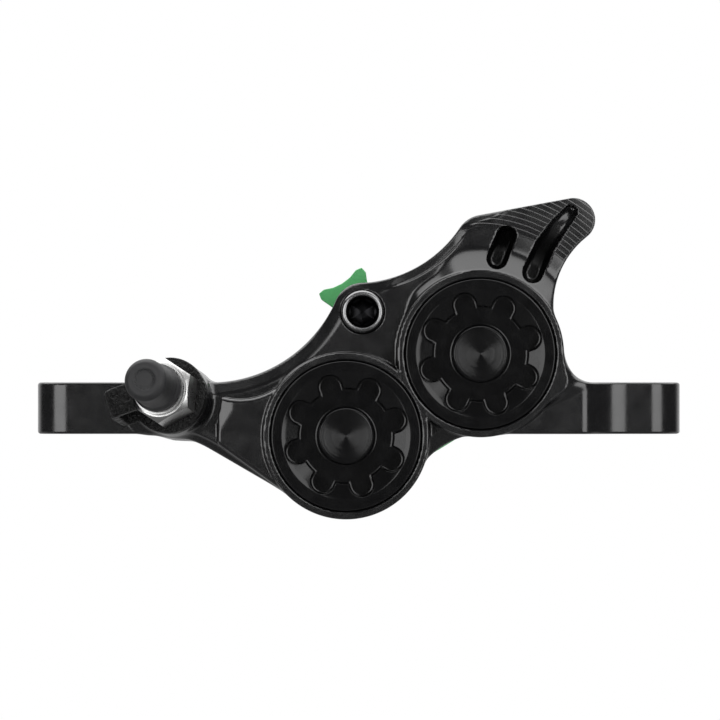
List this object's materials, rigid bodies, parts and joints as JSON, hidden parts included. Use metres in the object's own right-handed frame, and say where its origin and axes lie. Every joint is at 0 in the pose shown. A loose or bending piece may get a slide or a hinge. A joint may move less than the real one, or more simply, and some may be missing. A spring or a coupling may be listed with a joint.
{
  "type": "bicycle disc brake caliper",
  "caption": "Post-mount disc brake caliper: sloping body with round bore caps, slotted ears, grooved tail, bleed nipple, and piston-driven pads on a pin.",
  "frame": {"origin": "midway between the two bolt slots, on the seat faces of the ears", "axes": "+X along the ears towards the tail, +Y across the wheel from the outboard to the inboard side, +Z away from the axle"},
  "size_m": [0.0886, 0.0535, 0.0443],
  "materials": {
    "body_anodised": "black anodised, milled, satin",
    "cap_anodised": "black anodised, turned",
    "seal_rubber": "smooth rubber",
    "piston_phenolic": "machined phenolic resin",
    "pad_green": "green painted steel, satin",
    "friction": "rough pressed friction compound",
    "spring_steel": "rolled stainless strip",
    "pin_steel": "turned dark steel",
    "clip_steel": "stamped spring steel",
    "nipple_steel": "turned stainless steel",
    "cap_rubber": "moulded rubber, matt",
    "plug_steel": "ground steel"
  },
  "bodies": {
    "caliper": {"caliper_body": "body_anodised", "lower_bore_cap": "cap_anodised", "upper_bore_cap": "cap_anodised", "lower_cap_oring": "seal_rubber", "upper_cap_oring": "seal_rubber", "outer_lower_seal": "seal_rubber", "outer_upper_seal": "seal_rubber", "inner_lower_seal": "seal_rubber", "inner_upper_seal": "seal_rubber", "pad_spring": "spring_steel", "pad_pin": "pin_steel", "pin_clip": "clip_steel", "gallery_plug": "plug_steel"},
    "outer_pad": {"outer_backing_plate": "pad_green", "outer_friction": "friction"},
    "inner_pad": {"inner_backing_plate": "pad_green", "inner_friction": "friction"},
    "outer_lower_piston": {"outer_lower_piston": "piston_phenolic"},
    "outer_upper_piston": {"outer_upper_piston": "piston_phenolic"},
    "inner_lower_piston": {"inner_lower_piston": "piston_phenolic"},
    "inner_upper_piston": {"inner_upper_piston": "piston_phenolic"},
    "nipple": {"bleed_nipple": "nipple_steel", "dust_cap_tether": "cap_rubber"},
    "dust_cap": {"dust_cap": "cap_rubber"}
  },
  "joints": [
    {"name": "outer_pad_slide", "type": "slide", "parent": "caliper", "child": "outer_pad", "axis": [0, 1, 0], "range_m": [-0.00045, 0.0011], "deforming": ["pad_spring"]},
    {"name": "inner_pad_slide", "type": "slide", "parent": "caliper", "child": "inner_pad", "axis": [0, -1, 0], "range_m": [-0.00045, 0.0011]},
    {"name": "outer_lower_piston_slide", "type": "slide", "parent": "caliper", "child": "outer_lower_piston", "axis": [0, 1, 0], "range_m": [-0.00045, 0.0011]},
    {"name": "outer_upper_piston_slide", "type": "slide", "parent": "caliper", "child": "outer_upper_piston", "axis": [0, 1, 0], "range_m": [-0.00045, 0.0011]},
    {"name": "inner_lower_piston_slide", "type": "slide", "parent": "caliper", "child": "inner_lower_piston", "axis": [0, -1, 0], "range_m": [-0.00045, 0.0011]},
    {"name": "inner_upper_piston_slide", "type": "slide", "parent": "caliper", "child": "inner_upper_piston", "axis": [0, -1, 0], "range_m": [-0.00045, 0.0011]},
    {"name": "nipple_turn", "type": "hinge", "parent": "caliper", "child": "nipple", "pos_m": [-0.026, -0.0096, 0.0052], "axis": [-0.2482, -0.953, 0.1736], "range_deg": [0, 180]},
    {"name": "dust_cap_pull", "type": "slide", "parent": "nipple", "child": "dust_cap", "axis": [-0.2482, -0.953, 0.1736], "range_m": [0, 0.009], "deforming": ["dust_cap_tether"]}
  ],
  "couplings": [
    {"joint": "inner_pad_slide", "follows": "outer_pad_slide", "ratio": 1},
    {"joint": "outer_lower_piston_slide", "follows": "outer_pad_slide", "ratio": 1},
    {"joint": "outer_upper_piston_slide", "follows": "outer_pad_slide", "ratio": 1},
    {"joint": "inner_lower_piston_slide", "follows": "outer_pad_slide", "ratio": 1},
    {"joint": "inner_upper_piston_slide", "follows": "outer_pad_slide", "ratio": 1}
  ]
}
